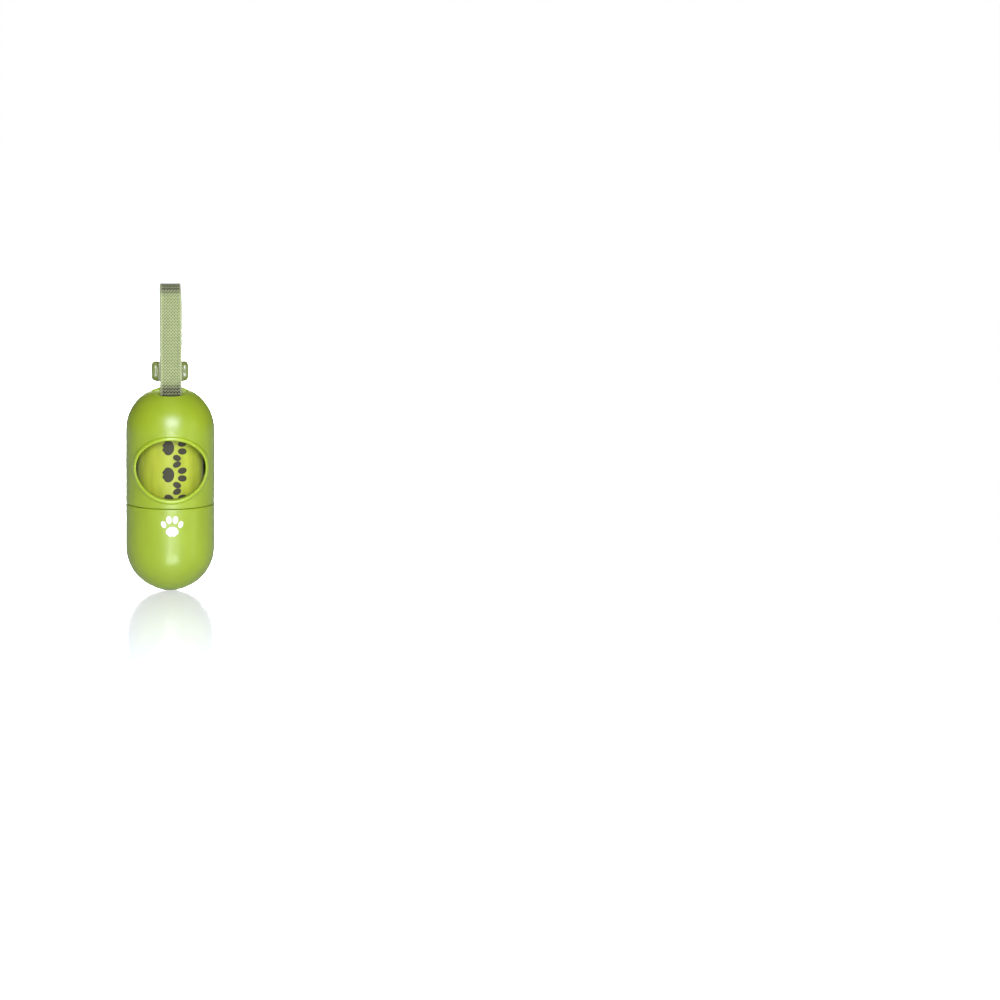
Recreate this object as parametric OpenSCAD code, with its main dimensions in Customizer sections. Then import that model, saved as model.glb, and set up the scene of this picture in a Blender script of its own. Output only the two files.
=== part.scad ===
// Pocket dispenser for rolls of dog waste bags: a two-part plastic capsule
// that hangs from a loop of webbing. The origin is the inside top of the
// loop's fold, +Z is up and the window faces -Y. All lengths are millimetres.

/* [Capsule] */
// Outside diameter of the capsule
capsule_d = 39; // [37:0.5:44]
// Length of the closed capsule from crown to bottom
capsule_l = 91; // [86:0.5:104]
// Height of the seam above the bottom of the capsule
lower_l = 39; // [35:0.5:42]
// Wall thickness of the upper shell
upper_wall = 2.6; // [2.4:0.1:2.8]
// Wall thickness of the lower shell
lower_wall = 2.2; // [1.9:0.1:2.5]

/* [Closure] */
// Length of the neck that goes down into the lower shell
neck_l = 7; // [5:0.5:9]
// Wall thickness of the neck
neck_wall = 1.1; // [0.9:0.1:1.3]
// Radial room between neck and socket, where the thread runs
thread_room = 0.45; // [0.35:0.05:0.6]
// Free height under the end of the neck
neck_end_room = 0.5; // [0.3:0.1:1]
// Gap between the two rims when the capsule is closed
seam_gap = 0.15; // [0.1:0.05:0.3]
// Chamfer on both outer edges of the seam
seam_chamfer = 0.35; // [0.2:0.05:0.5]

/* [Window] */
// Width of the oval window, seen from the front
window_w = 30.4; // [27:0.2:32]
// Height of the oval window
window_h = 26; // [22:0.5:27]
// Depth of the window's centre below the crown
window_drop = 34.8; // [33:0.1:35.5]
// Width of the raised bead around the window
bead_w = 1.9; // [1.5:0.1:2.3]
// Height of the bead above the shell
bead_h = 0.8; // [0.6:0.1:1.1]
// Width of the bead's rounded shoulders, drawn as one step
bead_shoulder = 0.45; // [0.3:0.05:0.6]

/* [Crown] */
// Diameter of the bar that the strap runs under
bar_d = 4.4; // [3.8:0.1:5]
// Depth of the bar's axis below the crown
bar_drop = 2.7; // [2.5:0.1:3.2]
// Radius of the two scoops in the crown
scoop_r = 9; // [8.6:0.1:9.6]
// Distance of each scoop's centre from the bar's axis
scoop_offset = 4; // [3.6:0.1:4.4]
// Height of each scoop's centre above the crown
scoop_rise = 2.5; // [2:0.1:3]
// Wall thickness around the crown recess
crown_wall = 1.8; // [1.5:0.1:2.2]

/* [Strap] */
// Width of the webbing
strap_w = 9.5; // [8.5:0.1:10]
// Thickness of the webbing
strap_t = 1.2; // [0.9:0.1:1.4]
// Height of the inside of the fold above the crown
strap_drop = 44; // [38:0.5:70]
// Length of the free tail above the slider
tail_l = 15; // [13:0.5:18]
// Length of webbing folded back and sewn above the slider bar
sewn_l = 9; // [8:0.5:11]
// Gap between webbing and the hard parts or plies beside it
soft_gap = 0.3; // [0.2:0.05:0.4]
// Side room between webbing and the recess in the crown
trough_side = 0.5; // [0.4:0.05:0.8]

/* [Slider] */
// Width of the slider
slider_w = 16.2; // [15:0.1:18]
// Height of the slider
slider_h = 9; // [8.4:0.1:10]
// Gap between the crown and the underside of the slider
slider_rise = 1.4; // [0.8:0.1:3]
// Corner radius of the slider
slider_r = 1.8; // [1.2:0.1:2.2]
// Side room between webbing and the slider's rails
slot_side = 0.45; // [0.35:0.05:0.8]
// Height of the slider's upper and lower bars
end_bar_h = 1.2; // [1:0.1:1.5]
// Thickness of the slider's upper and lower bars
end_bar_t = 1.1; // [0.9:0.1:1.4]
// Diameter of the slider's middle bar
mid_bar_d = 1.5; // [1.2:0.1:1.7]
// Room between the middle bar and the webbing sewn round it
mid_bar_room = 0.2; // [0.15:0.05:0.3]

/* [Bag roll] */
// Outside diameter of the roll of bags
roll_d = 30.4; // [26:0.2:31]
// Length of the roll of bags
roll_l = 60; // [58:0.5:62]
// Outside diameter of the cardboard core
core_d = 15; // [13:0.5:18]
// Wall thickness of the core
core_wall = 0.9; // [0.6:0.1:1.2]
// Height of the step at the loose end of the film
film_step = 0.3; // [0.2:0.05:0.4]
// Radial running clearance of the roll on its core
core_fit = 0.08; // [0.05:0.01:0.1]
// Height at which the roll clears the lower shell's round bottom
seat_gap = 0.3; // [0.2:0.05:0.4]

/* [Hidden] */
$fn = 96;

shell_green = [0.62, 0.77, 0.22];
slider_green = [0.70, 0.78, 0.47];
strap_green = [0.74, 0.79, 0.59];
thread_green = [0.66, 0.72, 0.48];
film_green = [0.72, 0.76, 0.22];
card_brown = [0.72, 0.60, 0.43];

// Strap: two legs round the bar, and a second rear ply down to the slider
bight_r = bar_d / 2 + soft_gap;
fold_r = bight_r + (strap_t + soft_gap) / 2;
bar_y = bight_r - fold_r;
crown_z = -strap_drop;
bar_z = crown_z - bar_drop;
inner_ply_y = bar_y + bight_r;
outer_ply_y = fold_r;

// Slider, its middle bar and the webbing sewn round that bar
slider_bottom = crown_z + slider_rise;
slider_top = slider_bottom + slider_h;
mid_bar_z = slider_bottom + slider_h / 2;
wrap_r = mid_bar_d / 2 + mid_bar_room;
mid_bar_y = outer_ply_y + strap_t + wrap_r;
slot_w = strap_w + 2 * slot_side;
slider_front = inner_ply_y - soft_gap - end_bar_t;
slider_back = mid_bar_y + mid_bar_d / 2;
tail_top = slider_top + tail_l;
sewn_bend_z = mid_bar_z + 2 * strap_t;
sewn_top = slider_top + sewn_l / 2;
ply_joint_z = slider_top + sewn_l;

// Capsule: both shells are drawn with the crown at the height zero
capsule_r = capsule_d / 2;
bore_r = capsule_r - upper_wall;
neck_r = bore_r + neck_wall;
seam_z = lower_l - capsule_l;
upper_ball_z = -capsule_r;
lower_ball_z = capsule_r - capsule_l;
cup_r = capsule_r - lower_wall;
socket_r = neck_r + thread_room;
socket_z = seam_z - neck_l - neck_end_room;

// Crown: the trough round the bar and the room beside the strap
trough_r = bight_r + strap_t + soft_gap;
trough_w = strap_w + 2 * trough_side;

// Roll: its lower edge lies in the round bottom of the lower shell
roll_r = roll_d / 2;
core_r = core_d / 2;
roll_z = lower_ball_z - sqrt(cup_r * cup_r - roll_r * roll_r) + seat_gap;

// Places the shells' frame under the strap
module at_capsule() { translate([0, bar_y, crown_z]) children(); }

// Turns a side view drawn in (y, z) into a band across the strap's width
module band(width) {
    rotate([90, 0, 90]) linear_extrude(height = width, center = true) children();
}

// Half of a ring in side view, open on the side that turn points away from
module half_ring(inner_r, thickness, turn) {
    rotate(turn) intersection() {
        difference() {
            circle(r = inner_r + thickness);
            circle(r = inner_r);
        }
        translate([-2 * (inner_r + thickness), 0])
            square([4 * (inner_r + thickness), 2 * (inner_r + thickness)]);
    }
}

// One ply of webbing in side view
module ply(y, low, high) { translate([y, low]) square([strap_t, high - low]); }

// Half section of a pill: round end of radius r about ball_z, straight wall to end_z
module pill_half(r, ball_z, end_z) {
    end_is_up = end_z > ball_z;
    intersection() {
        translate([0, ball_z]) circle(r = r);
        translate([0, end_is_up ? ball_z - r : ball_z]) square([r, r]);
    }
    translate([0, min(ball_z, end_z)]) square([r, abs(end_z - ball_z)]);
}

// Chamfer cutter on the outer edge at the height z
module edge_cut(z) {
    translate([capsule_r, z]) rotate(45)
        square(seam_chamfer * sqrt(2), center = true);
}

// Window outline, grown by an even margin
module oval(grow) {
    polygon([for (turn = [0:5:355])
        [(window_w / 2 + grow) * cos(turn), (window_h / 2 + grow) * sin(turn)]]);
}

// Prism of the window outline towards the front
module window_prism(grow) {
    translate([0, 0, -window_drop]) rotate([90, 0, 0])
        linear_extrude(height = capsule_d) oval(grow);
}

// Part of the bead between two margins, raised by rise above the shell
module bead(grow, rise) {
    intersection() {
        window_prism(grow);
        translate([0, 0, seam_z]) difference() {
            cylinder(r = capsule_r + rise, h = capsule_l);
            translate([0, 0, -1]) cylinder(r = capsule_r - upper_wall / 2, h = capsule_l + 2);
        }
    }
}

// Recess in the crown, grown by an even wall
module crown_recess(grow) {
    for (side = [-1, 1])
        translate([0, side * scoop_offset, scoop_rise]) sphere(r = scoop_r + grow);
    translate([0, 0, -bar_drop]) rotate([0, 90, 0])
        cylinder(r = trough_r + grow, h = trough_w + 2 * grow, center = true);
}

module crown_ball() { translate([0, 0, upper_ball_z]) sphere(r = capsule_r); }

// Outer wall of the upper shell with its neck, before any opening is cut
module upper_wall_body() {
    rotate_extrude() difference() {
        union() {
            difference() {
                pill_half(capsule_r, upper_ball_z, seam_z);
                edge_cut(seam_z);
            }
            translate([0, seam_z - neck_l]) square([neck_r, neck_l]);
        }
        pill_half(bore_r, upper_ball_z, seam_z - 2 * neck_l);
    }
}

// Upper shell: dome with strap bar, beaded window and threaded neck
module upper_shell() {
    color(shell_green) at_capsule() {
        difference() {
            union() {
                upper_wall_body();
                bead(bead_w, bead_h - bead_shoulder);
                bead(bead_w - bead_shoulder, bead_h);
                intersection() {
                    crown_recess(crown_wall);
                    crown_ball();
                }
            }
            window_prism(0);
            crown_recess(0);
        }
        intersection() {
            translate([0, 0, -bar_drop]) rotate([0, 90, 0])
                cylinder(d = bar_d, h = 2 * scoop_r, center = true);
            crown_ball();
        }
    }
}

// Lower shell: round-bottomed cup with the socket for the neck
module lower_shell() {
    color(shell_green) at_capsule() rotate_extrude() difference() {
        pill_half(capsule_r, lower_ball_z, seam_z - seam_gap);
        edge_cut(seam_z - seam_gap);
        pill_half(cup_r, lower_ball_z, seam_z);
        translate([0, socket_z]) square([socket_r, seam_z - socket_z]);
    }
}

// Strap: fold, front leg, bight under the bar and rear leg with its free tail
module strap_loop() {
    color(strap_green) band(strap_w) {
        translate([0, -fold_r]) half_ring(fold_r, strap_t, 0);
        ply(-fold_r - strap_t, bar_z, -fold_r);
        translate([bar_y, bar_z]) half_ring(bight_r, strap_t, 180);
        ply(inner_ply_y, bar_z, tail_top);
    }
}

// Rear ply from the fold down to the sewn end; it shortens as the slider rises
module strap_rear_ply() {
    color(strap_green) band(strap_w) ply(outer_ply_y, ply_joint_z, -fold_r);
}

// End of the rear ply, wrapped round the slider's middle bar and folded back
module strap_sewn_end() {
    wrap_back = mid_bar_y + wrap_r;
    lap_y = outer_ply_y + strap_t;
    color(strap_green) band(strap_w) {
        ply(outer_ply_y, mid_bar_z, ply_joint_z);
        translate([mid_bar_y, mid_bar_z]) half_ring(wrap_r, strap_t, 180);
        polygon([
            [wrap_back, mid_bar_z],
            [wrap_back + strap_t, mid_bar_z],
            [wrap_back + strap_t, mid_bar_z + strap_t],
            [lap_y + strap_t, sewn_bend_z + strap_t],
            [lap_y + strap_t, sewn_top],
            [lap_y, sewn_top],
            [lap_y, sewn_bend_z + strap_t / 2],
            [wrap_back, mid_bar_z + strap_t / 2]
        ]);
    }
}

// Stitches that hold the folded end down, on its rear face
module bartack_thread() {
    stitch_n = 12;
    stitch_l = 2.4;
    stitch_d = 0.4;
    tack_w = strap_w - 2;
    color(thread_green)
        for (i = [0 : stitch_n - 1])
            translate([(i / (stitch_n - 1) - 0.5) * (tack_w - stitch_d),
                       outer_ply_y + 2 * strap_t, sewn_top - stitch_l - 0.6])
                intersection() {
                    cylinder(d = stitch_d, h = stitch_l, $fn = 24);
                    translate([-stitch_d, 0, 0]) cube([2 * stitch_d, stitch_d, stitch_l]);
                }
}

// Rounded rectangle, centred
module round_rect(width, height, r) {
    for (dx = [-1, 1], dy = [-1, 1])
        translate([dx * (width / 2 - r), dy * (height / 2 - r)]) circle(r = r);
    square([width - 2 * r, height], center = true);
    square([width, height - 2 * r], center = true);
}

// Slider: rails, two end bars in front of the webbing and a middle bar behind it
module strap_slider() {
    depth = slider_back - slider_front;
    color(slider_green) {
        difference() {
            intersection() {
                translate([0, slider_back, mid_bar_z]) rotate([90, 0, 0])
                    linear_extrude(height = depth) round_rect(slider_w, slider_h, slider_r);
                translate([0, slider_back - depth / 2, slider_bottom])
                    linear_extrude(height = slider_h) round_rect(slider_w, depth, slider_r);
            }
            translate([-slot_w / 2, slider_front + end_bar_t, slider_bottom - 1])
                cube([slot_w, depth, slider_h + 2]);
            translate([-slot_w / 2, slider_front - 1, slider_bottom + end_bar_h])
                cube([slot_w, depth, slider_h - 2 * end_bar_h]);
        }
        translate([0, mid_bar_y, mid_bar_z]) rotate([0, 90, 0])
            cylinder(d = mid_bar_d, h = slot_w + slider_r, center = true);
    }
}

// Cardboard tube in the middle of the roll
module roll_core() {
    color(card_brown) at_capsule() translate([0, 0, roll_z]) difference() {
        cylinder(r = core_r, h = roll_l);
        translate([0, 0, -1]) cylinder(r = core_r - core_wall, h = roll_l + 2);
    }
}

// Wound film: two half circles about shifted centres leave the step of its loose end
module bag_roll() {
    color(film_green) at_capsule() translate([0, 0, roll_z]) difference() {
        linear_extrude(height = roll_l) {
            circle(r = roll_r - film_step);
            intersection() {
                translate([-film_step / 2, 0]) circle(r = roll_r - film_step / 2);
                translate([-2 * roll_r, 0]) square([4 * roll_r, 2 * roll_r]);
            }
        }
        translate([0, 0, -1]) cylinder(r = core_r + core_fit, h = roll_l + 2);
    }
}

strap_loop();
strap_rear_ply();
strap_sewn_end();
bartack_thread();
strap_slider();
upper_shell();
lower_shell();
roll_core();
bag_roll();
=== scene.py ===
import math

import bpy
import numpy as np
from mathutils import Matrix, Vector


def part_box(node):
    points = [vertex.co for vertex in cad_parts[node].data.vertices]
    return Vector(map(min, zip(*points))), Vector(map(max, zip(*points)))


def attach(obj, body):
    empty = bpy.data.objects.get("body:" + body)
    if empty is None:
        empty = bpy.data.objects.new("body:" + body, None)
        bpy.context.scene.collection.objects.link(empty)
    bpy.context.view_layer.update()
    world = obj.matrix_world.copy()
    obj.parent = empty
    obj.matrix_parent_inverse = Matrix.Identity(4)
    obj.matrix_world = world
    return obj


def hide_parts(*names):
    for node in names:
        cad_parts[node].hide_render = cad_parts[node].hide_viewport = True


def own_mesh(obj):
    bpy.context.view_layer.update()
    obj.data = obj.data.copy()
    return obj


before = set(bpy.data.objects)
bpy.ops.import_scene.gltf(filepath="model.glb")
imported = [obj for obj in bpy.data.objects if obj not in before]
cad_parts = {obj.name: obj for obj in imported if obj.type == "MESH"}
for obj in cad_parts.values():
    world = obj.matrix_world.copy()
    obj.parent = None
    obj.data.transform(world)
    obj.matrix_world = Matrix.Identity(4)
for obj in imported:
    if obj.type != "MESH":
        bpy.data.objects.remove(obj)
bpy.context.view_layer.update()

# The camera looks at the window from far off, nine degrees above it and a
# little from the left. It is turned so that the capsule hangs upright at the
# left of the picture.
picture_px = 1000
capsule_x_px = 170.2
capsule_y_px = 487.8
px_per_metre = 2267
camera_distance = 3.0
look_down = math.radians(8.95)
look_from_left = math.radians(1.4)

shell_low, shell_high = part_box("lower_shell")
capsule_length = 0.091
capsule_y = (shell_low.y + shell_high.y) / 2
crown_z = shell_low.z + capsule_length
capsule_middle = Vector((0, capsule_y, crown_z - capsule_length / 2))


def axes(first, second):
    """Rotation whose first two columns are two unit vectors at right angles."""
    return Matrix((first, second, first.cross(second))).transposed()


camera = bpy.data.objects.new("camera", bpy.data.cameras.new("camera"))
focal_px = px_per_metre * camera_distance
camera.data.lens = camera.data.sensor_width * focal_px / picture_px
camera.data.clip_end = 50
toward_camera = Vector((-math.sin(look_from_left) * math.cos(look_down),
                        -math.cos(look_from_left) * math.cos(look_down), math.sin(look_down)))
camera_place = capsule_middle + camera_distance * toward_camera
across = (capsule_x_px - picture_px / 2) / focal_px
above = (picture_px / 2 - capsule_y_px) / focal_px
seen_at = Vector((across, above, -1)).normalized()
seen_column = Vector((1, 0, across)).normalized()
upright = (-toward_camera).cross(Vector((0, 0, 1))).normalized()
camera_turn = axes(-toward_camera, upright) @ axes(seen_at, seen_column).transposed()
camera.matrix_world = Matrix.Translation(camera_place) @ camera_turn.to_4x4()
bpy.context.scene.collection.objects.link(camera)
bpy.context.scene.camera = camera

# Upper shell: one injection moulding in satin lime green plastic, with the
# dome and its strap bar, the window with its raised bead, and the neck that
# the lower shell screws onto. Its edges have the soft radii of a mould.
millimetre = 0.001  # the pieces' sizes are in millimetres, with z at 0 on the crown
capsule_r = (shell_high.x - shell_low.x) / 2 / millimetre
length = capsule_length / millimetre
lower_l = 39.0
seam_z = lower_l - length
seam_gap = 0.15
seam_edge = 0.55
bore_r = capsule_r - 2.6
neck_r = bore_r + 1.1
neck_l = 7.0
window_w, window_h, window_drop = 30.4, 26.0, 34.8
bead_w, bead_h = 1.9, 0.8
bar_r, bar_drop = 2.2, 2.7
scoop_r, scoop_offset, scoop_rise = 9.0, 4.0, 2.5
crown_wall = 1.8
trough_r, trough_w = 4.0, 10.5
scoop_edge, trough_edge = 0.8, 1.0
neck_edge, hollow_edge, wall_edge = 0.4, 1.2, 0.4
recess_edge, window_edge = 1.1, 0.5
bar_end_edge, bar_fillet, bead_fillet = 0.3, 1.0, 0.04
outside_edge = 0.02
thread_inset = 1.0
around_skin = 0.5
inside_start, inside_fade = 0.3, 0.8
rim_start, rim_fade = 0.1, 0.4
shell_cell = 0.34
shell_green = (0.325, 0.445, 0.016)


def rounded_max(a, b, edge):
    """The larger of two distances, with the edge where they meet rounded off."""
    return np.maximum(a, b) + np.maximum(edge - np.abs(a - b), 0) ** 2 / (4 * edge)


def rounded_min(a, b, edge):
    """The smaller of two distances, with a fillet where they meet."""
    return -rounded_max(-a, -b, edge)


def skin(field, low, high, cell):
    """Points and quads of the surface where field is zero, inside a box of cells.

    Each cell that the surface cuts gets one point, which is then moved onto the
    surface. Each edge that it crosses gets one quad between four cells."""
    lines = [np.arange(a - cell, b + 2 * cell, cell) for a, b in zip(low, high)]
    grid = np.stack(np.meshgrid(*lines, indexing="ij"), -1)
    value = field(grid)
    sides = (slice(0, -1), slice(1, None))
    corner = {(i, j, k): value[sides[i], sides[j], sides[k]]
              for i in (0, 1) for j in (0, 1) for k in (0, 1)}
    filled = sum((v < 0).astype(int) for v in corner.values())
    cut = (filled > 0) & (filled < 8)
    number = np.full(cut.shape, -1)
    number[cut] = np.arange(cut.sum())

    total = np.zeros((cut.sum(), 3))
    hits = np.zeros(cut.sum())
    for start in corner:
        for axis in range(3):
            if start[axis] == 1:
                continue
            end = tuple(1 if i == axis else c for i, c in enumerate(start))
            a, b = corner[start][cut], corner[end][cut]
            crossed = (a < 0) != (b < 0)
            total[crossed] += start
            total[crossed, axis] += (a / np.where(crossed, a - b, 1))[crossed]
            hits += crossed
    points = grid[:-1, :-1, :-1][cut] + cell * total / hits[:, None]
    nudge, passes, least_slope = 0.01, 5, 0.2
    for _ in range(passes):
        slope = np.stack([(field(points + step) - field(points - step)) / (2 * nudge)
                          for step in nudge * np.eye(3)], -1)
        steep = np.maximum((slope**2).sum(-1, keepdims=True), least_slope)
        move = field(points)[:, None] * slope / steep
        points -= np.clip(move, -cell / 2, cell / 2)

    quads = []
    for axis in range(3):
        order = (axis, (axis + 1) % 3, (axis + 2) % 3)
        v, n = np.moveaxis(value, order, (0, 1, 2)), np.moveaxis(number, order, (0, 1, 2))
        low_in, high_in = v[:-1, 1:-1, 1:-1] < 0, v[1:, 1:-1, 1:-1] < 0
        edge = low_in != high_in
        ring = np.stack([n[:, :-1, :-1][edge], n[:, 1:, :-1][edge],
                         n[:, 1:, 1:][edge], n[:, :-1, 1:][edge]], -1)
        ring[~low_in[edge]] = ring[~low_in[edge]][:, ::-1]
        quads.append(ring)
    return points, np.concatenate(quads)


def in_capsule(points):
    """Moves millimetre points of the capsule, crown at zero, to their place in metres."""
    return points * millimetre + np.array([0, capsule_y, crown_z])


def new_piece(name, points, faces, material, body):
    """A smooth piece of the object, made of points in metres, that rides on a body."""
    mesh = bpy.data.meshes.new(name)
    mesh.from_pydata(np.asarray(points).tolist(), [], [list(map(int, f)) for f in faces])
    mesh.polygons.foreach_set("use_smooth", [True] * len(mesh.polygons))
    mesh.materials.append(material)
    piece = bpy.data.objects.new(name, mesh)
    bpy.context.scene.collection.objects.link(piece)
    if body:
        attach(piece, body)
    return piece


def mark(piece, name, values):
    """Writes a value for every point of a piece, for its material to read."""
    layer = piece.data.attributes.new(name, "FLOAT", "POINT")
    layer.data.foreach_set("value", np.asarray(values, dtype=np.float32).ravel())


def read_mark(nodes, name):
    """The value that was written for each point, as a node's output."""
    reader = nodes.new("ShaderNodeAttribute")
    reader.attribute_name = name
    return reader.outputs["Fac"]


def joined(*parts):
    """One list of points and one of faces, out of several pairs of them."""
    points, faces, count = [], [], 0
    for part_points, part_faces in parts:
        points.append(np.asarray(part_points))
        faces += [[int(i) + count for i in face] for face in part_faces]
        count += len(part_points)
    return np.concatenate(points), faces


def new_material(name):
    """An empty material, with its nodes, its links and its shader."""
    material = bpy.data.materials.new(name)
    material.use_nodes = True
    nodes, links = material.node_tree.nodes, material.node_tree.links
    return material, nodes, links, nodes["Principled BSDF"]


def noise(nodes, links, scale, detail, stretch=(1, 1, 1)):
    """Random pattern that is fixed to the piece, stretched along its axes."""
    place = nodes.new("ShaderNodeMapping")
    place.inputs["Scale"].default_value = stretch
    links.new(nodes.new("ShaderNodeTexCoord").outputs["Object"], place.inputs["Vector"])
    pattern = nodes.new("ShaderNodeTexNoise")
    pattern.inputs["Scale"].default_value = scale
    pattern.inputs["Detail"].default_value = detail
    links.new(place.outputs["Vector"], pattern.inputs["Vector"])
    return pattern.outputs["Fac"]


def ramp(nodes, links, value, *stops):
    """Colour that follows a value through stops of a position and a colour."""
    colours = nodes.new("ShaderNodeValToRGB")
    while len(colours.color_ramp.elements) < len(stops):
        colours.color_ramp.elements.new(0.5)
    for element, (position, colour) in zip(colours.color_ramp.elements, stops):
        element.position = position
        element.color = (*colour, 1)
    links.new(value, colours.inputs["Fac"])
    return colours.outputs["Color"]


def shade(colour, factor):
    """A darker or paler colour."""
    return tuple(c * factor for c in colour)


def feed(links, sockets, sources):
    """Gives each socket its source, which is a node's output or a plain value."""
    for socket, source in zip(sockets, sources):
        if isinstance(source, bpy.types.NodeSocket):
            links.new(source, socket)
        else:
            socket.default_value = source


def blended(nodes, links, kind, share, first, second):
    """Two colours blended by a share."""
    blend = nodes.new("ShaderNodeMixRGB")
    blend.blend_type = kind
    feed(links, blend.inputs, (share, first, second))
    return blend.outputs["Color"]


def worked_out(nodes, links, operation, *values):
    """What an operation on two or three values gives."""
    step = nodes.new("ShaderNodeMath")
    step.operation = operation
    feed(links, step.inputs, values)
    return step.outputs["Value"]


def between(nodes, links, value, low, high):
    """A value from 0 to 1, turned into one from low to high."""
    spread = nodes.new("ShaderNodeMapRange")
    spread.inputs["To Min"].default_value = low
    spread.inputs["To Max"].default_value = high
    links.new(value, spread.inputs["Value"])
    return spread.outputs["Result"]


def bumps(nodes, links, shader, height, strength, distance):
    """Relief too fine for the mesh: the grain of plastic, fibres, the cover of ink."""
    bump = nodes.new("ShaderNodeBump")
    bump.inputs["Strength"].default_value = strength
    bump.inputs["Distance"].default_value = distance
    links.new(height, bump.inputs["Height"])
    links.new(bump.outputs["Normal"], shader.inputs["Normal"])


def plastic(name, colour, roughness, grain, coat):
    """Moulded plastic: faint clouds in the colour, uneven gloss and a fine grain.

    Points marked inside are matt and darkened with painted shade; points marked rim, the raised
    bead, are lightened with a painted highlight."""
    material, nodes, links, shader = new_material(name)
    shader.inputs["IOR"].default_value = 1.53
    shader.inputs["Specular IOR Level"].default_value = 0.55
    shader.inputs["Coat Weight"].default_value = coat
    shader.inputs["Coat Roughness"].default_value = 0.3
    shader.inputs["Subsurface Weight"].default_value = 0.06
    shader.inputs["Subsurface Radius"].default_value = (0.0016, 0.0022, 0.0005)
    shader.inputs["Subsurface Scale"].default_value = 1.0

    clouds = noise(nodes, links, scale=55, detail=4)
    tint = ramp(nodes, links, clouds, (0.3, shade(colour, 0.95)), (0.72, shade(colour, 1.04)))
    # Painted shade darkens the inside faces, and a painted highlight lightens the bead marked
    # rim.
    for mark_name, factor in (("inside", 0.75), ("rim", 1.2)):
        tint = blended(nodes, links, "MULTIPLY", read_mark(nodes, mark_name), tint,
                       (factor, factor, factor, 1))
    links.new(tint, shader.inputs["Base Color"])

    matt_inside = 0.3
    gloss = between(nodes, links, clouds, low=roughness * 0.88, high=roughness * 1.14)
    links.new(worked_out(nodes, links, "MULTIPLY_ADD", read_mark(nodes, "inside"), matt_inside,
                         gloss), shader.inputs["Roughness"])
    bumps(nodes, links, shader, noise(nodes, links, scale=2600, detail=3),
          strength=grain, distance=0.00006)
    return material


def pill(p, radius, ball_z, above_ball):
    """Distance from a round end joined to a straight wall, and the distance from the axis."""
    around = np.hypot(p[..., 0], p[..., 1])
    past = p[..., 2] - ball_z if above_ball else ball_z - p[..., 2]
    return np.where(past > 0, np.hypot(around, past), around) - radius, around


def crown_recess(p):
    """Distance from the crown's recess: two round scoops and the trough between them."""
    x, y, z = p[..., 0], p[..., 1], p[..., 2]
    front = np.sqrt(x**2 + (y + scoop_offset) ** 2 + (z - scoop_rise) ** 2) - scoop_r
    back = np.sqrt(x**2 + (y - scoop_offset) ** 2 + (z - scoop_rise) ** 2) - scoop_r
    trough = rounded_max(np.hypot(y, z + bar_drop) - trough_r, np.abs(x) - trough_w / 2,
                         scoop_edge)
    return rounded_min(rounded_min(front, back, scoop_edge), trough, trough_edge)


def window_oval(p, grow):
    """Distance from the window's outline, grown by a margin, as seen from the front."""
    x, z = p[..., 0], p[..., 2] + window_drop
    a, b = window_w / 2, window_h / 2
    scaled = np.maximum(np.hypot(x / a, z / b), 1e-6)
    steep = np.maximum(np.hypot(x / a**2, z / b**2), 1e-6)
    return scaled * (scaled - 1) / steep - grow


def upper_shell_field(p):
    """Distance from the upper shell: outside and neck, less the hollow, recess and window."""
    x, y, z = p[..., 0], p[..., 1], p[..., 2]
    outside, around = pill(p, capsule_r, -capsule_r, True)
    shell = rounded_max(outside, seam_z - z, seam_edge)
    neck = rounded_max(around - neck_r, seam_z - neck_l - z, neck_edge)
    shell = np.minimum(shell, neck)
    recess = crown_recess(p)
    hollow = pill(p, bore_r, -capsule_r, True)[0]
    hollow = rounded_max(hollow, crown_wall - recess, hollow_edge)
    shell = rounded_max(shell, -hollow, wall_edge)
    shell = rounded_max(shell, -recess, recess_edge)
    bar = rounded_max(np.hypot(y, z + bar_drop) - bar_r, np.abs(x) - scoop_r, bar_end_edge)
    shell = rounded_min(shell, bar, bar_fillet)
    shell = rounded_max(shell, outside, outside_edge)
    bead_across = window_oval(p, bead_w / 2) * 2 * bead_h / bead_w
    bead = np.hypot(bead_across, around - capsule_r) - bead_h
    shell = rounded_min(shell, np.maximum(bead, y), bead_fillet)
    window = np.maximum(window_oval(p, 0), y)
    return rounded_max(shell, -window, window_edge)


def thread(radius, side, top, bottom):
    """Helical ridge of a screw thread, standing out of a wall on the side +1 or -1."""
    pitch, half_width, height = 4.0, 0.75, 0.2
    turn_steps, run_out_steps, run_out_depth = 96, 12, 0.1
    ridge = ((-1, -0.15), (-0.55, 0.8), (0, 1), (0.55, 0.8), (1, -0.15))
    count = int((top - bottom) / pitch * turn_steps)
    points, faces = [], []
    for i in range(count + 1):
        angle = 2 * math.pi * i / turn_steps
        z = top - pitch * i / turn_steps
        fade = min(1, i / run_out_steps, (count - i) / run_out_steps)
        for share, rise in ridge:
            r = radius + side * height * (rise * fade - run_out_depth * (1 - fade))
            points.append((r * math.cos(angle), r * math.sin(angle), z + share * half_width))
        if i == 0:
            continue
        for j in range(len(ridge) - 1):
            a = len(ridge) * (i - 1) + j
            ring = [a, a + 1, a + 1 + len(ridge), a + len(ridge)]
            faces.append(ring if side > 0 else ring[::-1])
    return np.array(points), faces


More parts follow.
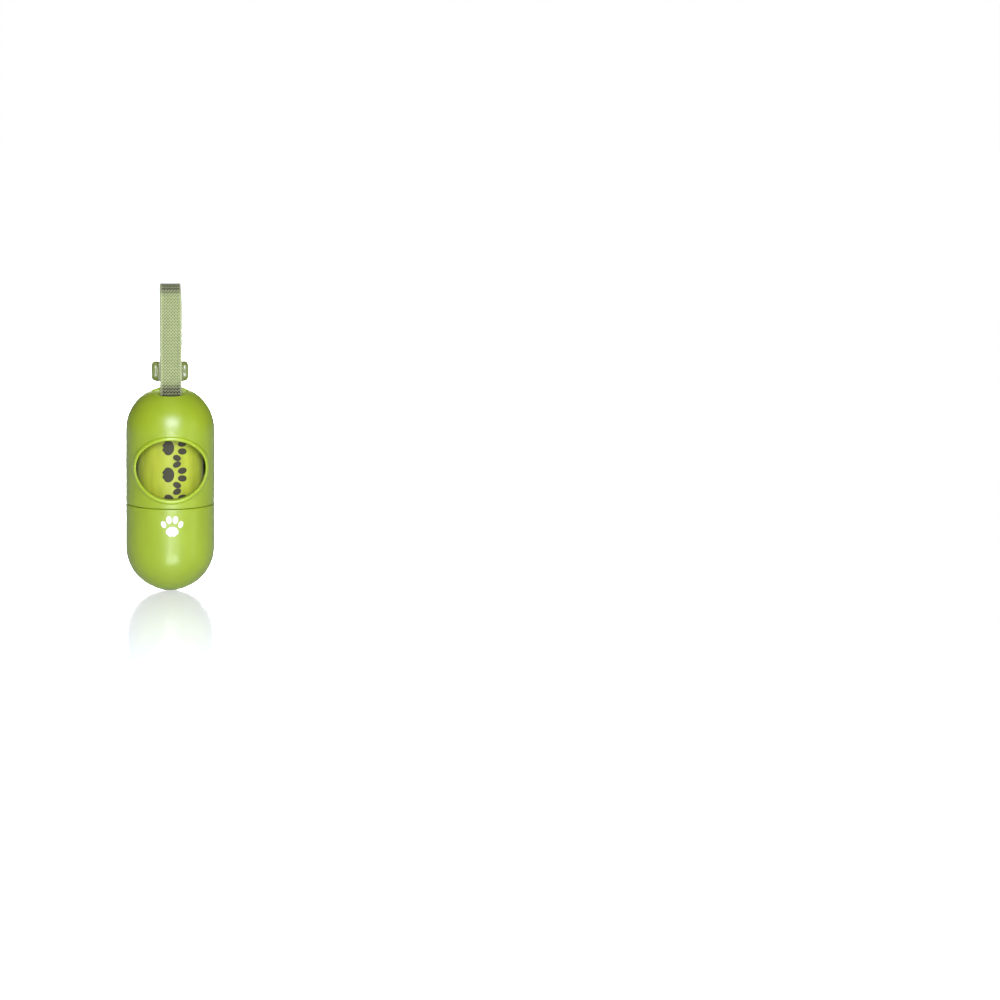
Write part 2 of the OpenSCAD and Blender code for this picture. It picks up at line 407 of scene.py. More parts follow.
lime = plastic("lime_plastic", shell_green, roughness=0.36, grain=0.10, coat=0.3)
half_box = capsule_r + around_skin
upper_skin = skin(upper_shell_field,
                  (-half_box, -capsule_r - bead_h - 0.4, seam_z - neck_l - around_skin),
                  (half_box, half_box, around_skin), shell_cell)
neck_thread = thread(neck_r, 1, seam_z - thread_inset, seam_z - neck_l + thread_inset)
points, faces = joined(upper_skin, neck_thread)
upper_shell = new_piece("upper_shell_moulding", in_capsule(points), faces, lime,
                        "capsule")
# Inside faces are marked for a matt finish and painted shade, and the bead that stands out of the
# skin for a painted highlight.
below_skin = -pill(points, capsule_r, -capsule_r, True)[0]
mark(upper_shell, "inside", np.clip((below_skin - inside_start) / inside_fade, 0, 1))
mark(upper_shell, "rim", np.clip((-below_skin - rim_start) / rim_fade, 0, 1))
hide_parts("upper_shell")

# Lower shell: a round-bottomed cup in the same green plastic. Its wide mouth
# holds the other half of the thread, and the small dimple under it is where
# the plastic was fed into the mould.
lower_ball_z = capsule_r - length
cup_r = capsule_r - 2.2
socket_r = neck_r + 0.45
socket_z = seam_z - neck_l - 0.5
socket_edge, cup_edge, mouth_edge = 0.2, 0.5, 0.35
socket_thread_top, socket_thread_end = seam_z - 1.6, seam_z - neck_l + 0.6
cup_inside_start = 0.6
gate_ball_r, gate_depth, gate_edge = 3.0, 0.25, 0.3


def lower_shell_field(p):
    """Distance from the lower shell: a round-bottomed cup with its socket and gate dimple."""
    x, y, z = p[..., 0], p[..., 1], p[..., 2]
    outside, around = pill(p, capsule_r, lower_ball_z, False)
    shell = rounded_max(outside, z - seam_z + seam_gap, seam_edge)
    cup = pill(p, cup_r, lower_ball_z, False)[0]
    socket = rounded_max(around - socket_r, socket_z - z, socket_edge)
    shell = rounded_max(shell, -rounded_min(cup, socket, cup_edge), mouth_edge)
    gate_ball_z = -length - gate_ball_r + gate_depth
    gate = np.hypot(around, z - gate_ball_z) - gate_ball_r
    return rounded_max(shell, -gate, gate_edge)


lower_skin = skin(lower_shell_field,
                  (-half_box, -half_box, -length - around_skin),
                  (half_box, half_box, seam_z + around_skin), shell_cell)
socket_thread = thread(socket_r, -1, socket_thread_top, socket_thread_end)
points, faces = joined(lower_skin, socket_thread)
lower_shell = new_piece("lower_shell_moulding", in_capsule(points), faces, lime,
                        "cap")
# The inside of the cup is marked for a matt finish and painted shade.
below_skin = -pill(points, capsule_r, lower_ball_z, False)[0]
mark(lower_shell, "inside", np.clip((below_skin - cup_inside_start) / inside_fade, 0, 1))
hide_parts("lower_shell")

# White paw print, pad-printed on the front of the lower shell in one coat of
# opaque ink. It stands off the plastic by the thickness of the ink.
paw_drop = 59.8
paw_size = 10.2
paw_turn = 0.02
ink_thickness = 0.04
lobe_depth = 0.25
paw_pads = (  # centre across, centre up, half width, half height, lean in degrees
    (0.0, -0.22, 0.27, 0.22, 0),
    (-0.37, 0.10, 0.11, 0.155, 22),
    (-0.14, 0.30, 0.115, 0.17, 7),
    (0.14, 0.30, 0.115, 0.17, -7),
    (0.37, 0.10, 0.11, 0.155, -22),
)


def paw(size, quarter_turn):
    """Flat paw print of a size across. Its sole, the one pad that doesn't lean, has lobes."""
    points, faces = [], []
    for across, up, half_w, half_h, lean in paw_pads:
        rings, steps = 4, 40
        first = len(points)
        points.append((across, up))
        for ring in range(1, rings + 1):
            for step in range(steps):
                a = 2 * math.pi * step / steps
                dx, dz = half_w * math.cos(a), half_h * math.sin(a)
                if lean == 0 and dz < 0:
                    lobe = abs(math.sin(1.5 * math.pi * dx / half_w))
                    dz *= 1 - lobe_depth + lobe_depth * lobe
                c, s = math.cos(math.radians(lean)), math.sin(math.radians(lean))
                share = ring / rings
                points.append((across + share * (dx * c - dz * s),
                               up + share * (dx * s + dz * c)))
        for step in range(steps):
            after = (step + 1) % steps
            faces.append((first, first + 1 + step, first + 1 + after))
            for ring in range(rings - 1):
                a = first + 1 + ring * steps
                faces.append((a + step, a + steps + step, a + steps + after, a + after))
    flat = np.array(points) * size
    if quarter_turn:
        flat = np.stack([flat[:, 1], -flat[:, 0]], -1)
    return flat, faces


def printed_round(flat, faces, angle, z, radius):
    """Lays a flat print on a round wall; angle 0 is the front and radius is a function."""
    turn = angle + flat[:, 0] / radius(angle, z)
    height = z + flat[:, 1]
    r = np.array([radius(a, h) for a, h in zip(turn, height)])
    return np.stack([r * np.sin(turn), -r * np.cos(turn), height], -1), faces


def ink(name, colour, roughness):
    """Opaque printing ink, a little uneven in its colour and its cover."""
    material, nodes, links, shader = new_material(name)
    shader.inputs["Roughness"].default_value = roughness
    cover = noise(nodes, links, scale=1400, detail=5)
    tint = ramp(nodes, links, cover, (0.25, shade(colour, 0.9)), (0.6, colour))
    links.new(tint, shader.inputs["Base Color"])
    bumps(nodes, links, shader, cover, strength=0.2, distance=0.00003)
    return material


white_ink = ink("white_ink", (0.9, 0.9, 0.86), roughness=0.45)
flat, faces = paw(paw_size, False)
points, faces = printed_round(flat, faces, paw_turn, -paw_drop,
                              lambda angle, z: capsule_r + ink_thickness)
new_piece("paw_print", in_capsule(points), faces, white_ink, "cap")

# Roll of bags: thin lime yellow film, wound tight on its core and ending in a
# loose edge on the outside. Small creases run round it, and its ends show the
# edges of the layers.
roll_low, roll_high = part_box("bag_roll")
roll_r = 15.2
roll_bottom = (roll_low.z - crown_z) / millimetre
roll_top = (roll_high.z - crown_z) / millimetre
film_step = 0.3
crease_room = 0.14
creases = (  # height, number round the roll, slant along it, start
    (0.045, 5, 0.11, 0),
    (0.035, 9, -0.23, 1),
)
waist_h, waist_slant, waist_sway = 0.03, 0.55, 2
layer_step = 0.12
core_gap = 0.08
loose_edge_angle = math.radians(118)
core_r = 7.5
film_yellow = (0.42, 0.48, 0.030)


def film_radius(angle, z):
    """Radius of the wound film: a spiral with a step, pulled in and creased a little."""
    turn = (angle - loose_edge_angle) % (2 * math.pi) / (2 * math.pi)
    crease = sum(height * math.sin(count * angle + slant * z + start)
                 for height, count, slant, start in creases)
    crease += waist_h * math.sin(waist_slant * z + waist_sway * math.sin(2 * angle))
    return roll_r - crease_room - film_step * turn + crease


def round_faces(rows, wide, closed=False):
    """Quads between rows of points that each run round a piece."""
    return [(k * wide + j, k * wide + (j + 1) % wide,
             (k + 1) % rows * wide + (j + 1) % wide, (k + 1) % rows * wide + j)
            for k in range(rows if closed else rows - 1) for j in range(wide)]


def film_roll():
    """Round side and both ends of the wound film."""
    around, along, layers = 240, 150, 22
    seam_share = 1e-4
    turns = loose_edge_angle + 2 * math.pi * np.append(
        np.arange(around) / around, 1 - seam_share)
    heights = np.linspace(roll_bottom, roll_top, along + 1)
    bore = core_r + core_gap
    ends = []
    for z, inward in ((heights[0], 1), (heights[-1], -1)):
        end = []
        for i in range(layers + 1):
            ripple = layer_step * (i % 2) if 0 < i < layers else 0
            end.append([(bore + i / layers * (film_radius(a, z) - bore), a, z + inward * ripple)
                        for a in turns])
        ends.append(end)
    side = [[(film_radius(a, z), a, z) for a in turns] for z in heights[1:-1]]
    rows = ends[0] + side + ends[1][::-1]
    rows.append(rows[0])
    points = np.array([(r * math.sin(a), -r * math.cos(a), z) for row in rows for r, a, z in row])
    return points, round_faces(len(rows), len(turns))


film, nodes, links, shader = new_material("bag_film")
shader.inputs["Sheen Weight"].default_value = 0.15
shader.inputs["Specular IOR Level"].default_value = 0.45
shader.inputs["Subsurface Weight"].default_value = 0.12
shader.inputs["Subsurface Radius"].default_value = (0.002, 0.0025, 0.0004)
shader.inputs["Subsurface Scale"].default_value = 1.0
drawn_out = (1, 1, 0.25)
clouds = noise(nodes, links, scale=260, detail=6, stretch=drawn_out)
tint = ramp(nodes, links, clouds, (0.3, shade(film_yellow, 0.84)), (0.7, shade(film_yellow, 1.1)))
links.new(tint, shader.inputs["Base Color"])
links.new(between(nodes, links, clouds, low=0.34, high=0.52), shader.inputs["Roughness"])
bumps(nodes, links, shader, noise(nodes, links, scale=900, detail=4, stretch=drawn_out),
      strength=0.35, distance=0.00012)

points, faces = film_roll()
roll = new_piece("wound_film", in_capsule(points), faces, film, "roll")
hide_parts("bag_roll")

# Dark olive paw prints on the film, in a matt ink that is printed before the
# bags are wound. They stand in columns, and one shows through the window.
olive_ink = ink("olive_ink", (0.042, 0.040, 0.014), roughness=0.7)
print_size = 12.3
print_rows = 5
print_columns = 3
print_shift = 1.45
print_pitch = (roll_top - roll_bottom) / print_rows
prints = []
for column in range(print_columns):
    angle = print_shift / roll_r + 2 * math.pi * column / print_columns
    for row in range(print_rows):
        z = roll_bottom + (row + 0.5) * print_pitch
        flat, faces = paw(print_size, True)
        prints.append(printed_round(flat, faces, angle, z,
                                    lambda a, h: film_radius(a, h) + ink_thickness))
points, faces = joined(*prints)
new_piece("film_print", in_capsule(points), faces, olive_ink, "roll")

# Core: a tube of grey-brown card, wound from a spiral strip, that the film is
# rolled on. Its ends show inside the ends of the roll.
core_wall = 0.9
strip_w, groove_depth, groove_share = 14.0, 0.08, 0.04
card, nodes, links, shader = new_material("core_card")
shader.inputs["Roughness"].default_value = 0.85
fibres = noise(nodes, links, scale=1500, detail=8)
tint = ramp(nodes, links, fibres, (0, (0.36, 0.26, 0.16)), (1, (0.62, 0.49, 0.34)))
links.new(tint, shader.inputs["Base Color"])
bumps(nodes, links, shader, fibres, strength=0.5, distance=0.0001)


def card_tube():
    """Tube with the shallow spiral groove between the turns of its strip."""
    around, along = 120, 120
    section = []
    for i in range(along + 1):
        z = roll_bottom + (roll_top - roll_bottom) * i / along
        section.append((core_r, z, True))
    for i in range(along + 1):
        z = roll_top - (roll_top - roll_bottom) * i / along
        section.append((core_r - core_wall, z, False))
    points = []
    for r, z, is_outside in section:
        for j in range(around):
            a = 2 * math.pi * j / around
            off = abs((z / strip_w + a / (2 * math.pi)) % 1 - 0.5)
            groove = groove_depth * max(0, 1 - off / groove_share)
            rr = r - groove if is_outside else r + groove
            points.append((rr * math.cos(a), rr * math.sin(a), z))
    return np.array(points), round_faces(len(section), around, closed=True)


points, faces = card_tube()
core = new_piece("card_core", in_capsule(points), faces, card, "roll_carrier")
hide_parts("roll_core")

# Strap: one length of pale sage green webbing, 9.5 mm wide, with rows of
# slanting yarns that meet in chevrons. It is folded over at the top, passes
# under the bar in the crown and comes up through the slider.
strap_low, strap_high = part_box("strap_loop")
strap_w = (strap_high.x - strap_low.x) / millimetre
strap_t = strap_high.z / millimetre
fold_r = strap_high.y / millimetre - strap_t
ply_gap = 0.3
bight_r = fold_r - (strap_t + ply_gap) / 2
bar_y = bight_r - fold_r
bar_z = strap_low.z / millimetre + bight_r + strap_t
slider_low, slider_high = (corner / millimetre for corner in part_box("strap_slider"))
tail_l = 15
tail_top = slider_high.z + tail_l
selvedge_w = 0.62
yarn_columns = 6
yarn_pitch = 1.42
yarn_slant = 1.9
yarn_height = 0.19
strand_fullness, leg_fullness = 0.75, 0.4
leg_start, leg_span = 0.1, 0.84
rib_mean, rib_swing = 0.85, 0.3
edge_relief = 0.3
melted_l, melted_fade, melted_level = 0.7, 0.3, 0.55
bend_fade, bend_depth = 3.2, 0.7
pinch_l, pinch_in, pinch_aside = 7, 0.045, 0.28
off_centre = 0.3
edge_share = 0.8
edge_wave = 0.1
step_across, step_along, edge_steps = 0.14, 0.16, 7


def yarn_relief(u, s):
    """Height of the yarns, 0 to 1, at a distance u across the webbing and s along it.

    Yarns lie in columns of chevrons between two plain edges."""
    inner_w = strap_w - 2 * selvedge_w
    column = inner_w / yarn_columns
    off = np.abs(((u + inner_w / 2) / column) % 1 - 0.5) * 2
    turn = ((s - yarn_slant * column / 2 * off) / yarn_pitch) % 1
    strand = np.maximum(np.sin(math.pi * turn), 0) ** strand_fullness
    leg = np.maximum(np.sin(math.pi * (leg_start + leg_span * off)), 0) ** leg_fullness
    ribs = rib_mean + rib_swing * np.sin(4 * math.pi * s / yarn_pitch)
    return np.where(np.abs(u) < inner_w / 2, strand * leg, ribs)


def near(s, zones, fade):
    """1 inside the zones of the strap's length, falling to 0 over a fade."""
    share = np.zeros_like(s)
    for low, high in zones:
        out = np.maximum(np.maximum(low - s, s - high), 0) / fade
        share = np.maximum(share, 1 - np.minimum(out, 1))
    return share * share * (3 - 2 * share)


def lines_and_arcs(*stretches):
    """Points and normals along a strap's middle line, seen from the side as y and z."""
    points, normals = [], []
    for stretch in stretches:
        if stretch[0] == "line":
            (y0, z0), (y1, z1) = stretch[1:]
            far = math.hypot(y1 - y0, z1 - z0)
            n = max(2, int(far / step_along))
            normal = ((z0 - z1) / far, (y1 - y0) / far)
            for i in range(n):
                points.append((y0 + (y1 - y0) * i / n, z0 + (z1 - z0) * i / n))
                normals.append(normal)
        else:
            (cy, cz), r, a0, a1 = stretch[1:]
            n = max(2, int(abs(a1 - a0) * r / step_along))
            sign = 1 if a1 < a0 else -1
            for i in range(n):
                a = a0 + (a1 - a0) * i / n
                points.append((cy + r * math.cos(a), cz + r * math.sin(a)))
                normals.append((sign * math.cos(a), sign * math.sin(a)))
    return points, normals


def end_faces(rows, wide):
    """The two faces that close a band or a thread at its ends."""
    return [tuple(range(wide))[::-1], tuple((rows - 1) * wide + j for j in range(wide))]


def webbing(name, stretches, end, bends=(), melted=False, pinch=None):
    """Woven band along its middle line, flat with round edges.

    The weave opens in the bends, where its gaps sink deeper and are marked for darker painted
    shade, and the band is drawn in about the pinch. A melted end is where the band was cut hot."""
    points, normals = lines_and_arcs(*stretches)
    points.append(end)
    normals.append(normals[-1])
    points, normals = np.array(points), np.array(normals)
    s = np.concatenate([[0], np.cumsum(np.hypot(*np.diff(points, axis=0).T))])
    half_w, half_t = strap_w / 2, strap_t / 2
    flat_half = half_w - edge_share * half_t
    flat_n = int(2 * flat_half / step_across)
    section = []
    for side in (1, -1):
        for i in range(flat_n):
            section.append((side * (2 * flat_half * i / flat_n - flat_half), side))
        for i in range(edge_steps):
            a = math.pi * (0.5 - i / edge_steps)
            section.append((side * (flat_half + edge_share * half_t * math.cos(a)),
                            side * math.sin(a)))
    u, lift = np.array(section).T
    uu, ss = np.meshgrid(u, s)
    shift = np.where(lift > 0, 0, 0.5 * yarn_pitch)[None, :]
    relief = yarn_relief(uu, ss + shift)
    opened = near(ss, bends, bend_fade)
    sealed = near(ss, [(s[-1] - melted_l, s[-1])] if melted else [], melted_fade)
    relief = relief + sealed * (melted_level - relief)
    flatness = np.minimum(np.abs(lift) + edge_relief, 1)[None, :]
    sunk = yarn_height * (1 + bend_depth * opened) * (1 - relief) * flatness
    depth = lift[None, :] * (half_t - sunk)
    round_edge = np.maximum(1 - np.abs(lift), 0)[None, :]
    x = uu - np.sign(uu) * round_edge * edge_wave * (1 - relief)
    if pinch is not None:
        pulled = np.exp(-((ss - pinch) / pinch_l) ** 2)
        x = x * (1 - pinch_in * pulled) - pinch_aside * pulled
    x += off_centre
    y = points[:, 0][:, None] + normals[:, 0][:, None] * depth
    z = points[:, 1][:, None] + normals[:, 1][:, None] * depth
    faces = round_faces(len(s), len(u)) + end_faces(len(s), len(u))
    verts = np.stack([x, y, z], -1).reshape(-1, 3) * millimetre
    piece = new_piece(name, verts, faces, woven_green, None)
    for label, values in (("relief", relief), ("opened", opened), ("sealed", sealed)):
        mark(piece, label, values)
    return piece


woven_green, nodes, links, shader = new_material("sage_webbing")
shader.inputs["Sheen Weight"].default_value = 0.25
shader.inputs["Sheen Roughness"].default_value = 0.4
shader.inputs["Specular IOR Level"].default_value = 0.35
# Colour follows the height of the yarns, so the gaps between them are painted dark: painted
# shade. Where the bends open the weave, the gaps are painted nearly black: stronger painted
# shade.
tight = ramp(nodes, links, read_mark(nodes, "relief"),
             (0.1, (0.03, 0.036, 0.008)), (0.45, (0.20, 0.235, 0.08)),
             (0.8, (0.45, 0.51, 0.225)), (1.0, (0.53, 0.58, 0.295)))
open_weave_painted_shade = ramp(nodes, links, read_mark(nodes, "relief"),
                  (0.35, (0.006, 0.006, 0.002)), (0.65, (0.06, 0.064, 0.02)),
                  (0.97, (0.60, 0.63, 0.34)))
weave = blended(nodes, links, "MIX", read_mark(nodes, "opened"), tight, open_weave_painted_shade)
mottle = ramp(nodes, links, noise(nodes, links, scale=420, detail=2),
              (0.3, (0.86, 0.88, 0.84)), (0.7, (1, 1, 1)))
links.new(blended(nodes, links, "MULTIPLY", 1, weave, mottle), shader.inputs["Base Color"])
links.new(between(nodes, links, read_mark(nodes, "sealed"), low=0.68, high=0.32),
          shader.inputs["Roughness"])
bumps(nodes, links, shader, noise(nodes, links, scale=3800, detail=4),
      strength=0.5, distance=0.00005)

front_y = -fold_r - strap_t / 2
fold_mid_r = fold_r + strap_t / 2
bight_mid_r = bight_r + strap_t / 2
fold_top_s = math.pi / 2 * fold_mid_r
leg_l = -fold_r - bar_z
bight_s = fold_top_s * 2 + leg_l
fold_open, bight_open = 3.8, 1.6
loop = webbing("webbing_loop", [
    ("arc", (0, -fold_r), fold_mid_r, 0, math.pi),
    ("line", (front_y, -fold_r), (front_y, bar_z)),
    ("arc", (bar_y, bar_z), bight_mid_r, -math.pi, 0),
    ("line", (bar_y + bight_mid_r, bar_z), (bar_y + bight_mid_r, tail_top)),
], (bar_y + bight_mid_r, tail_top), bends=[
    (fold_top_s - fold_open, fold_top_s + fold_open),
    (bight_s - bight_open, bight_s + math.pi * bight_mid_r + bight_open),
], melted=True, pinch=fold_top_s)
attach(loop, "strap")
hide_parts("strap_loop")

# The rear ply of the same webbing, from the fold down to the sewn end. It
# grows shorter as the slider is pushed up, because webbing slips over the fold.
ply_low, ply_high = (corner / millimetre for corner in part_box("strap_rear_ply"))
ply_y = (ply_low.y + ply_high.y) / 2
ply_length = ply_high.z - ply_low.z
rear_ply = webbing("webbing_rear_ply", [("line", (ply_y, ply_low.z), (ply_y, ply_high.z))],
                   (ply_y, ply_high.z), pinch=ply_length + fold_top_s)
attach(rear_ply, "strap")
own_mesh(rear_ply)
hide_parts("strap_rear_ply")

# The sewn end: the rear ply goes round the slider's middle bar, folds back
# behind itself and is closed with a bartack.
sewn_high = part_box("strap_sewn_end")[1] / millimetre
mid_bar_z = (slider_low.z + slider_high.z) / 2
wrap_r = 0.95
mid_bar_y = sewn_high.y - wrap_r - strap_t
lap_y = ply_y + strap_t
sewn_top = slider_high.z + 4.5
tuck_low_z, tuck_high_z = mid_bar_z + 0.9, mid_bar_z + 3.4
wrap_back_y = mid_bar_y + wrap_r + strap_t / 2
sewn_end = webbing("webbing_sewn_end", [
    ("line", (ply_y, sewn_high.z), (ply_y, mid_bar_z)),
    ("arc", (mid_bar_y, mid_bar_z), wrap_r + strap_t / 2, -math.pi, 0),
    ("line", (wrap_back_y, mid_bar_z), (wrap_back_y, tuck_low_z)),
    ("line", (wrap_back_y, tuck_low_z), (lap_y, tuck_high_z)),
    ("line", (lap_y, tuck_high_z), (lap_y, sewn_top)),
], (lap_y, sewn_top), melted=True)
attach(sewn_end, "slider")
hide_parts("strap_sewn_end")

# Bartack: a dense zigzag of green polyester thread, sewn by machine through
# both layers of the folded end to close it round the slider's bar.
thread_material, nodes, links, shader = new_material("green_thread")
shader.inputs["Roughness"].default_value = 0.5
shader.inputs["Sheen Weight"].default_value = 0.3
place = nodes.new("ShaderNodeTexCoord")
twist = nodes.new("ShaderNodeTexWave")
twist.inputs["Scale"].default_value = 900
twist.inputs["Distortion"].default_value = 1.5
links.new(place.outputs["Object"], twist.inputs["Vector"])
tint = ramp(nodes, links, twist.outputs["Fac"], (0, (0.30, 0.36, 0.15)), (1, (0.55, 0.62, 0.32)))
links.new(tint, shader.inputs["Base Color"])
bumps(nodes, links, shader, twist.outputs["Fac"], strength=0.4, distance=0.00005)


def thread_run(route, radius, sides):
    """Round thread along a route of points in millimetres."""
    route = np.array(route)
    along = np.gradient(route, axis=0)
    along /= np.linalg.norm(along, axis=1, keepdims=True)
    side = np.cross(along, (0, 1, 0))
    side /= np.linalg.norm(side, axis=1, keepdims=True)
    out = np.cross(side, along)
    turns = 2 * math.pi * np.arange(sides) / sides
    points = (route[:, None] + radius * (np.cos(turns)[None, :, None] * side[:, None]
                                         + np.sin(turns)[None, :, None] * out[:, None]))
    faces = round_faces(len(route), sides) + end_faces(len(route), sides)
    return points.reshape(-1, 3), faces


tack_low, tack_high = (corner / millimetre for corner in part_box("bartack_thread"))
thread_r, thread_sides = 0.17, 8
thread_sunk, thread_arch = 0.02, 0.05
tack_y = lap_y + strap_t / 2 - thread_sunk
zigzags, zigzag_steps = 17, 8
zigzag = []
for i in range(zigzags * zigzag_steps + 1):
    share = i / (zigzags * zigzag_steps)
    swing = abs((i / zigzag_steps) % 2 - 1)
    x = tack_low.x + thread_r + share * (tack_high.x - tack_low.x - 2 * thread_r)
    z = tack_low.z + thread_r + swing * (tack_high.z - tack_low.z - 2 * thread_r)
    zigzag.append((x, tack_y + thread_arch * math.sin(math.pi * swing), z))
points, faces = thread_run(zigzag, thread_r, thread_sides)
bartack = new_piece("bartack_stitches", points * millimetre, faces, thread_material,
                    "slider")
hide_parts("bartack_thread")

# Slider: a small three-bar slider moulded in lighter, glossy green plastic.
# Its rails are rounded; the end bars pass in front of the rear leg and the
# middle bar behind it.
slider_w = slider_high.x - slider_low.x
slider_h = slider_high.z - slider_low.z
slider_depth = slider_high.y - slider_low.y
slot_w = strap_w + 0.8
flange_w = strap_w - 0.7
flange_set_back, flange_step = 0.35, 0.7
bar_in_rail = 1.0
end_bar_h, end_bar_t, mid_bar_d = 1.2, 1.1, 1.5
rail_start, bar_crown, rail_crown, side_crown = 0.8, 0.2, 1.2, 0.4
outline_edge, face_edge, slot_edge, opening_edge = 2.4, 1.3, 0.3, 0.6
mid_bar_fillet = 0.5
slider_middle = np.array([0, (slider_low.y + slider_high.y) / 2, mid_bar_z])


def slider_field(p):
    """Distance from the slider: a crowned block, its lane and openings, and the middle bar."""
    x, y, z = p[..., 0], p[..., 1], p[..., 2]
    half_w, half_d, half_h = slider_w / 2, slider_depth / 2, slider_h / 2
    past_slot = np.abs(x) - slot_w / 2
    on_rail = np.clip(past_slot / rail_start, 0, 1)
    crowned = (half_d - (bar_crown + rail_crown * on_rail) * (z / half_h) ** 2
               - side_crown * (x / half_w) ** 4)
    block = rounded_max(np.abs(x) - half_w, np.abs(z) - half_h, outline_edge)
    block = rounded_max(block, np.abs(y) - crowned, face_edge)
    lane = rounded_max(past_slot, end_bar_t - half_d - y, slot_edge)
    opening = rounded_max(np.abs(x) - flange_w / 2, np.abs(z) - half_h + end_bar_h, opening_edge)
    step = rounded_max(past_slot, np.abs(z) - half_h + end_bar_h * flange_step, opening_edge)
    step = np.maximum(step, y + half_d - flange_set_back)
    frame_part = rounded_max(block, -np.minimum(np.minimum(lane, opening), step), slot_edge)
    bar = np.hypot(y - mid_bar_y + slider_middle[1], z) - mid_bar_d / 2
    bar = np.maximum(bar, past_slot - bar_in_rail)
    return rounded_min(frame_part, bar, mid_bar_fillet)


around_slider, slider_cell = 0.3, 0.15
slider_reach = np.array([slider_w, slider_depth, slider_h]) / 2 + around_slider
points, faces = skin(slider_field, -slider_reach, slider_reach, slider_cell)
slider_green = plastic("slider_plastic", (0.19, 0.235, 0.05), roughness=0.2, grain=0.06,
                       coat=0.5)
slider = new_piece("three_bar_slider", (points + slider_middle) * millimetre, faces,
                   slider_green, "slider")
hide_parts("strap_slider")

# Floor: a plain sheet of clear white acrylic that holds a faint reflection. The camera sees it as
# paper white, with a painted shadow round the foot where its glow fades, and what is below it
# shows through, paler.
floor_z = shell_low.z
floor_size, floor_gap = 3.6, 0.00005
glow_at_foot, glow_away, foot_reach = 0.05, 1.0, 0.22
floor_in_gloss = 0.25
floor_shine = 0.9
floor_clear = 0.55
bpy.ops.mesh.primitive_plane_add(size=floor_size, location=(0, 0, floor_z - floor_gap))
floor = bpy.context.object
floor.name = "floor"
floor_material, nodes, links, unused_shader = new_material("white_floor")
nodes.remove(unused_shader)
matt = nodes.new("ShaderNodeBsdfDiffuse")
matt.inputs["Color"].default_value = (0.9, 0.9, 0.9, 1)
shine = nodes.new("ShaderNodeBsdfGlossy")
shine.inputs["Color"].default_value = (0.97, 0.97, 1, 1)
shine.inputs["Roughness"].default_value = 0.08
surface = nodes.new("ShaderNodeMixShader")
feed(links, surface.inputs, (floor_shine, matt.outputs["BSDF"], shine.outputs["BSDF"]))

path = nodes.new("ShaderNodeLightPath")
camera_ray = path.outputs["Is Camera Ray"]
# The glow that the camera sees fades towards the foot: a painted shadow round it.
from_foot = nodes.new("ShaderNodeVectorMath")
from_foot.operation = "LENGTH"
links.new(nodes.new("ShaderNodeTexCoord").outputs["Object"], from_foot.inputs[0])
away = nodes.new("ShaderNodeMapRange")
away.inputs["From Max"].default_value = foot_reach
away.inputs["To Min"].default_value = glow_at_foot
away.inputs["To Max"].default_value = glow_away
links.new(from_foot.outputs["Value"], away.inputs["Value"])
seen = worked_out(nodes, links, "MULTIPLY", camera_ray, away.outputs["Result"])
glow = nodes.new("ShaderNodeEmission")
glow.inputs["Color"].default_value = (0.85, 0.92, 1.3, 1)
links.new(worked_out(nodes, links, "MULTIPLY_ADD", path.outputs["Is Glossy Ray"],
                     floor_in_gloss, seen), glow.inputs["Strength"])
both = nodes.new("ShaderNodeAddShader")
feed(links, both.inputs, (surface.outputs["Shader"], glow.outputs["Emission"]))
clear = worked_out(nodes, links, "MULTIPLY_ADD", camera_ray, floor_clear,
                   path.outputs["Is Shadow Ray"])
acrylic = nodes.new("ShaderNodeMixShader")
feed(links, acrylic.inputs, (clear, both.outputs["Shader"],
                             nodes.new("ShaderNodeBsdfTransparent").outputs["BSDF"]))
links.new(acrylic.outputs["Shader"], nodes["Material Output"].inputs["Surface"])
floor.data.materials.append(floor_material)

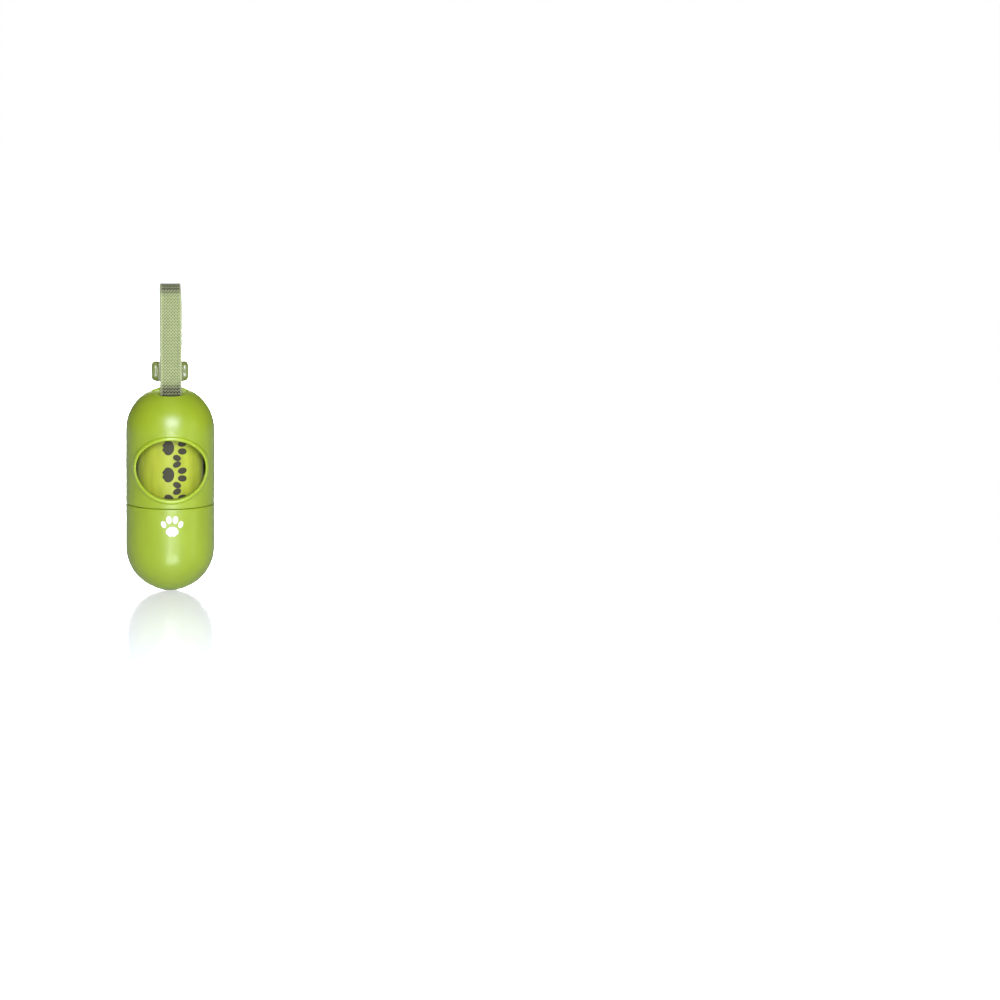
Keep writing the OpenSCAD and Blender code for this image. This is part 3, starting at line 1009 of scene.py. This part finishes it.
# Surroundings: a pale, slightly warm room. The camera sees it as paper white, and
# so do glossy surfaces that look straight behind the object.
room_level = 0.13
room_tint = (1, 0.97, 0.82, 1)
room_behind, right_behind = 0.99, 0.9995
world = bpy.data.worlds.new("surroundings")
bpy.context.scene.world = world
world.use_nodes = True
nodes, links = world.node_tree.nodes, world.node_tree.links
path = nodes.new("ShaderNodeLightPath")
through = worked_out(nodes, links, "MAXIMUM", path.outputs["Is Camera Ray"],
                     path.outputs["Is Transmission Ray"])
split = nodes.new("ShaderNodeSeparateXYZ")
links.new(nodes.new("ShaderNodeTexCoord").outputs["Generated"], split.inputs["Vector"])
behind = nodes.new("ShaderNodeMapRange")
behind.interpolation_type = "SMOOTHSTEP"
behind.inputs["From Min"].default_value = room_behind
behind.inputs["From Max"].default_value = right_behind
links.new(split.outputs["Y"], behind.inputs["Value"])
mirrored = worked_out(nodes, links, "MULTIPLY", path.outputs["Is Glossy Ray"],
                      behind.outputs["Result"])
white = worked_out(nodes, links, "MAXIMUM", through, mirrored)
background = nodes["Background"]
links.new(blended(nodes, links, "MIX", white, room_tint, (1, 1, 1, 1)),
          background.inputs["Color"])
links.new(between(nodes, links, white, room_level, 1), background.inputs["Strength"])

# Lamps: a wide, cool soft lamp in front and a low strip under it, a weak one at
# the right and from above, and one for the back.
lamps = (  # name, azimuth, elevation, distance, width, height, level, colour
    ("front_softbox", 4, 26, 2.4, 1.25, 0.9, 0.84, (0.97, 1, 1.25)),
    ("low_softbox", 0, 1.6, 2.4, 0.55, 0.1, 0.20, (1, 1, 1)),
    ("right_softbox", 60, 12, 2.4, 0.5, 0.8, 0.05, (1, 1, 1)),
    ("top_softbox", 0, 80, 2.0, 1.0, 1.0, 0.03, (1, 1, 1)),
    ("back_softbox", 180, 14, 2.4, 0.8, 0.8, 0.45, (1, 1, 1)),
)


def softbox(name, azimuth, elevation, distance, width, height, level, colour):
    """A soft lamp that lights a surface facing it to a level, seen from the capsule.

    Azimuth 0 is the front and grows to the right."""
    lamp = bpy.data.lights.new(name, "AREA")
    lamp.shape = "RECTANGLE"
    lamp.size, lamp.size_y = width, height
    lamp.energy = level * math.pi**2 * distance**2
    lamp.color = colour
    holder = bpy.data.objects.new(name, lamp)
    a, e = math.radians(azimuth), math.radians(elevation)
    away = Vector((math.sin(a) * math.cos(e), -math.cos(a) * math.cos(e), math.sin(e)))
    holder.location = capsule_middle + distance * away
    holder.rotation_euler = away.to_track_quat("Z", "Y").to_euler()
    holder.visible_camera = False
    bpy.context.scene.collection.objects.link(holder)


for values in lamps:
    softbox(*values)
bpy.context.scene.view_settings.view_transform = "Standard"
